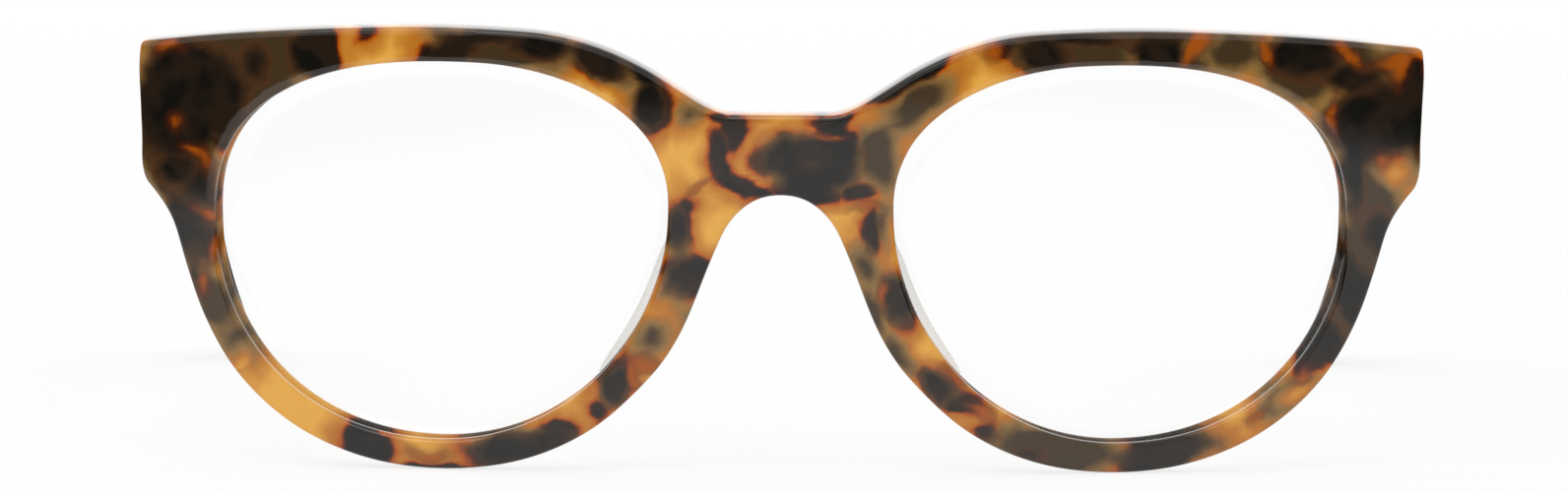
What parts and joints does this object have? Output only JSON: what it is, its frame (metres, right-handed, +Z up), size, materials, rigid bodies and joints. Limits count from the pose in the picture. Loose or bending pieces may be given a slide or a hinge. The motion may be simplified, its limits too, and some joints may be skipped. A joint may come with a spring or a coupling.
{
  "type": "browline glasses",
  "caption": "Full-rim acetate glasses with a heavy flat brow, squared end pieces, clear nose pads, lenses and folding temples on barrel hinges, standing open.",
  "frame": {"origin": "on the table under the middle of the glasses' bounding box", "axes": "+Z up, +Y back along the temples, so the front faces -Y, and +X to the wearer's left"},
  "size_m": [0.143, 0.1498, 0.05],
  "materials": {
    "tortoise_acetate": "polished",
    "clear_acetate": "polished",
    "lens": "polished",
    "steel": "satin"
  },
  "bodies": {
    "front_frame": {"front": "tortoise_acetate", "lens_left": "lens", "lens_right": "lens", "nose_pad_left": "clear_acetate", "nose_pad_right": "clear_acetate", "front_hinge_left": "steel", "front_hinge_right": "steel", "hinge_screw_left": "steel", "hinge_screw_right": "steel"},
    "temple_left_arm": {"temple_left": "tortoise_acetate", "temple_hinge_left": "steel", "core_wire_left": "steel"},
    "temple_right_arm": {"temple_right": "tortoise_acetate", "temple_hinge_right": "steel", "core_wire_right": "steel"}
  },
  "joints": [
    {"name": "temple_left_fold", "type": "hinge", "parent": "front_frame", "child": "temple_left_arm", "pos_m": [0.06359, -0.06001, 0.03981], "axis": [0, -0.1009, 0.9949], "range_deg": [0, 92]},
    {"name": "temple_right_fold", "type": "hinge", "parent": "front_frame", "child": "temple_right_arm", "pos_m": [-0.06359, -0.06001, 0.03981], "axis": [0, 0.1009, -0.9949], "range_deg": [0, 86]}
  ]
}
